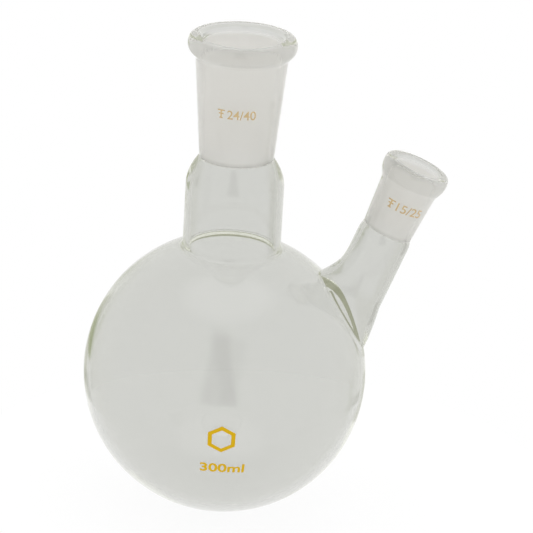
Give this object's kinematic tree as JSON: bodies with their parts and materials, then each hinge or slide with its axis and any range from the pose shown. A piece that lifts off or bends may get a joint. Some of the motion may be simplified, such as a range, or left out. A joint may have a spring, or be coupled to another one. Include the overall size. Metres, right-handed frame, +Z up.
{
  "type": "two-neck round-bottom flask",
  "caption": "Clear glass round-bottom flask with a centre neck and an angled side neck, each ending in a ground tapered socket with a rolled rim.",
  "frame": {"origin": "the lowest point of the bulb, on the centre neck's axis", "axes": "+Z up along the centre neck, +X towards the side neck, -Y the side the prints are on"},
  "size_m": [0.1094, 0.0885, 0.1532],
  "materials": {
    "clear_glass": "clear, fire polished",
    "ground_glass": "ground inside, frosted",
    "amber_enamel": "fired enamel print",
    "pale_enamel": "thin fired enamel print"
  },
  "bodies": {
    "root": {"bulb": "clear_glass", "centre_neck": "clear_glass", "centre_joint": "ground_glass", "side_neck": "clear_glass", "side_joint": "ground_glass", "capacity_mark": "amber_enamel", "maker_mark": "amber_enamel", "centre_size_mark": "pale_enamel", "side_size_mark": "pale_enamel"}
  },
  "joints": []
}
